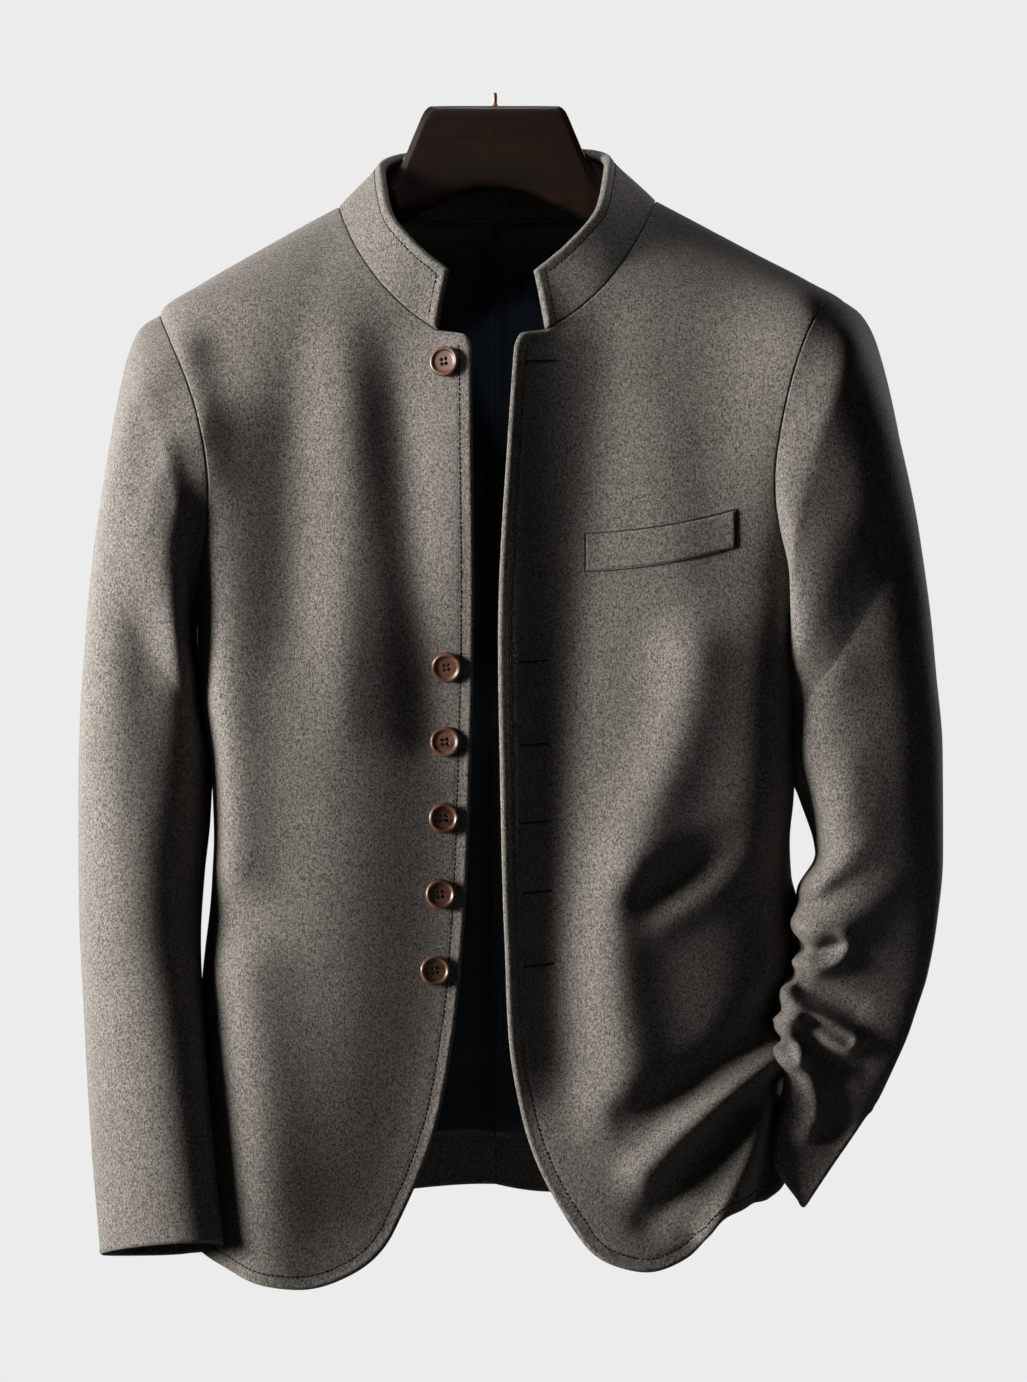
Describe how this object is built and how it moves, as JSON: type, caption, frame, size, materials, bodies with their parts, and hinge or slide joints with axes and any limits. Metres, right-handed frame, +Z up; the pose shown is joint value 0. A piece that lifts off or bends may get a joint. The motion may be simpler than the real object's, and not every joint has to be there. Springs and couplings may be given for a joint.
{
  "type": "stand collar blazer on a hanger",
  "caption": "Stand collar wool blazer hanging open on a dark wooden hanger, one sleeve bunched below the elbow, with a row of dished buttons and a chest welt.",
  "frame": {"origin": "top of the copper hook stem that stands on the hanger", "axes": "+Z up, the front of the blazer faces -Y, the wearer's left is +X"},
  "size_m": [0.57, 0.2336, 0.7915],
  "materials": {
    "wool": "brushed heather wool",
    "lining": "satin",
    "button": "satin varnish",
    "wood": "dark stain, semi-matt",
    "copper": "brushed"
  },
  "bodies": {
    "root": {"front_right": "wool", "front_left": "wool", "back_right": "wool", "back_left": "wool", "collar": "wool", "upper_sleeve_right": "wool", "upper_sleeve_left": "wool", "under_sleeve_right": "wool", "under_sleeve_left": "wool", "chest_welt": "wool", "lining_right": "lining", "lining_left": "lining", "button_1": "button", "button_2": "button", "button_3": "button", "button_4": "button", "button_5": "button", "button_6": "button", "hanger": "wood", "hook_stem": "copper"}
  },
  "joints": []
}
